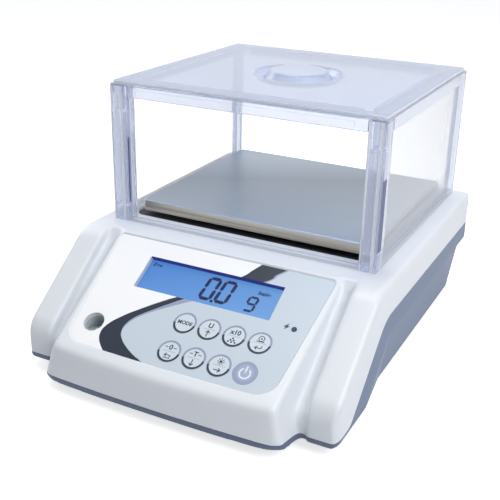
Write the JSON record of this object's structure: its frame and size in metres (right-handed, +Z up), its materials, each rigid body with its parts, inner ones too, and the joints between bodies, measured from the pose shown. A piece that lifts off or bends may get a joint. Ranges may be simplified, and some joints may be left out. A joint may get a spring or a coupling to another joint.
{
  "type": "precision balance",
  "caption": "Top-loading precision balance with a sloping keypad and display, a stainless pan and a clear draft shield with a lift-off lid.",
  "frame": {"origin": "on the table, under the middle of the housing", "axes": "+X to the right, +Y to the back, +Z up; the console faces -Y"},
  "size_m": [0.215, 0.288, 0.1757],
  "materials": {
    "white_abs": "fine satin moulded texture",
    "grey_abs": "fine satin moulded texture",
    "black_abs": "matt",
    "film": "printed film, semi-gloss",
    "power_key": "printed film, semi-gloss",
    "clear_plastic": "clear, polished",
    "lcd": "display glass, backlit blue",
    "white_plastic": "smooth",
    "board": "solder mask",
    "led": "moulded lens",
    "stainless": "brushed",
    "steel": "zinc plated",
    "aluminium": "machined",
    "rubber": "matt",
    "battery": "moulded case"
  },
  "bodies": {
    "base": {"upper_housing": "white_abs", "lower_housing": "grey_abs", "housing_screw_1": "steel", "housing_screw_2": "steel", "housing_screw_3": "steel", "housing_screw_4": "steel", "keypad_overlay": "film", "display_window": "clear_plastic", "display_glass": "lcd", "display_backlight": "white_plastic", "control_board": "board", "charge_led": "led", "level_cup": "white_plastic", "level_vial": "clear_plastic", "deck_liner": "black_abs", "load_cell": "aluminium", "cell_screw_1": "steel", "cell_screw_2": "steel", "main_board": "board", "battery": "battery", "dc_jack": "black_abs", "serial_port": "steel"},
    "mode_key": {"key_mode": "film"},
    "unit_key": {"key_unit": "film"},
    "times_ten_key": {"key_times_ten": "film"},
    "print_key": {"key_print": "film"},
    "zero_key": {"key_zero": "film"},
    "tare_key": {"key_tare": "film"},
    "light_key": {"key_light": "film"},
    "power_key": {"key_power": "power_key"},
    "pan_carrier": {"pan_support": "aluminium", "support_pad_1": "rubber", "support_pad_2": "rubber", "support_pad_3": "rubber", "support_pad_4": "rubber", "cell_screw_3": "steel", "cell_screw_4": "steel"},
    "weighing_pan": {"pan": "stainless"},
    "draft_shield": {"shield_post_1": "clear_plastic", "shield_post_2": "clear_plastic", "shield_post_3": "clear_plastic", "shield_post_4": "clear_plastic", "shield_rail_front": "clear_plastic", "shield_rail_rear": "clear_plastic", "shield_rail_left": "clear_plastic", "shield_rail_right": "clear_plastic", "shield_panel_front": "clear_plastic", "shield_panel_rear": "clear_plastic", "shield_panel_left": "clear_plastic", "shield_panel_right": "clear_plastic", "shield_top_frame": "clear_plastic"},
    "lid": {"shield_lid": "clear_plastic"},
    "foot_1_pad": {"foot_pad_1": "rubber"},
    "foot_1_screw": {"foot_screw_1": "grey_abs"},
    "foot_2_pad": {"foot_pad_2": "rubber"},
    "foot_2_screw": {"foot_screw_2": "grey_abs"},
    "foot_3_pad": {"foot_pad_3": "rubber"},
    "foot_3_screw": {"foot_screw_3": "grey_abs"},
    "foot_4_pad": {"foot_pad_4": "rubber"},
    "foot_4_screw": {"foot_screw_4": "grey_abs"}
  },
  "joints": [
    {"name": "mode_key_press", "type": "slide", "parent": "base", "child": "mode_key", "axis": [0, 0.5, -0.866], "range_m": [0, 0.00025], "stiffness_N_per_m": 4000},
    {"name": "unit_key_press", "type": "slide", "parent": "base", "child": "unit_key", "axis": [0, 0.5, -0.866], "range_m": [0, 0.00025], "stiffness_N_per_m": 4000},
    {"name": "times_ten_key_press", "type": "slide", "parent": "base", "child": "times_ten_key", "axis": [0, 0.5, -0.866], "range_m": [0, 0.00025], "stiffness_N_per_m": 4000},
    {"name": "print_key_press", "type": "slide", "parent": "base", "child": "print_key", "axis": [0, 0.5, -0.866], "range_m": [0, 0.00025], "stiffness_N_per_m": 4000},
    {"name": "zero_key_press", "type": "slide", "parent": "base", "child": "zero_key", "axis": [0, 0.5, -0.866], "range_m": [0, 0.00025], "stiffness_N_per_m": 4000},
    {"name": "tare_key_press", "type": "slide", "parent": "base", "child": "tare_key", "axis": [0, 0.5, -0.866], "range_m": [0, 0.00025], "stiffness_N_per_m": 4000},
    {"name": "light_key_press", "type": "slide", "parent": "base", "child": "light_key", "axis": [0, 0.5, -0.866], "range_m": [0, 0.00025], "stiffness_N_per_m": 4000},
    {"name": "power_key_press", "type": "slide", "parent": "base", "child": "power_key", "axis": [0, 0.5, -0.866], "range_m": [0, 0.00025], "stiffness_N_per_m": 4000},
    {"name": "weighing_travel", "type": "slide", "parent": "base", "child": "pan_carrier", "axis": [0, 0, -1], "range_m": [0, 0.00025], "stiffness_N_per_m": 120000},
    {"name": "pan_lift", "type": "slide", "parent": "pan_carrier", "child": "weighing_pan", "axis": [0, 0, 1], "range_m": [0, 0.04]},
    {"name": "draft_shield_lift", "type": "slide", "parent": "base", "child": "draft_shield", "axis": [0, 0, 1], "range_m": [0, 0.12]},
    {"name": "lid_lift", "type": "slide", "parent": "draft_shield", "child": "lid", "axis": [0, 0, 1], "range_m": [0, 0.08]},
    {"name": "foot_1_height", "type": "slide", "parent": "base", "child": "foot_1_pad", "axis": [0, 0, -1], "range_m": [0, 0.006]},
    {"name": "foot_1_turn", "type": "hinge", "parent": "foot_1_pad", "child": "foot_1_screw", "pos_m": [-0.089, -0.1, 0.003], "axis": [0, 0, 1], "range_deg": [0, 2160]},
    {"name": "foot_2_height", "type": "slide", "parent": "base", "child": "foot_2_pad", "axis": [0, 0, -1], "range_m": [0, 0.006]},
    {"name": "foot_2_turn", "type": "hinge", "parent": "foot_2_pad", "child": "foot_2_screw", "pos_m": [0.089, -0.1, 0.003], "axis": [0, 0, 1], "range_deg": [0, 2160]},
    {"name": "foot_3_height", "type": "slide", "parent": "base", "child": "foot_3_pad", "axis": [0, 0, -1], "range_m": [0, 0.006]},
    {"name": "foot_3_turn", "type": "hinge", "parent": "foot_3_pad", "child": "foot_3_screw", "pos_m": [-0.089, 0.078, 0.003], "axis": [0, 0, 1], "range_deg": [0, 2160]},
    {"name": "foot_4_height", "type": "slide", "parent": "base", "child": "foot_4_pad", "axis": [0, 0, -1], "range_m": [0, 0.006]},
    {"name": "foot_4_turn", "type": "hinge", "parent": "foot_4_pad", "child": "foot_4_screw", "pos_m": [0.089, 0.078, 0.003], "axis": [0, 0, 1], "range_deg": [0, 2160]}
  ],
  "couplings": [
    {"joint": "foot_1_turn", "follows": "foot_1_height", "rad_per_m": 6283.2},
    {"joint": "foot_2_turn", "follows": "foot_2_height", "rad_per_m": 6283.2},
    {"joint": "foot_3_turn", "follows": "foot_3_height", "rad_per_m": 6283.2},
    {"joint": "foot_4_turn", "follows": "foot_4_height", "rad_per_m": 6283.2}
  ]
}
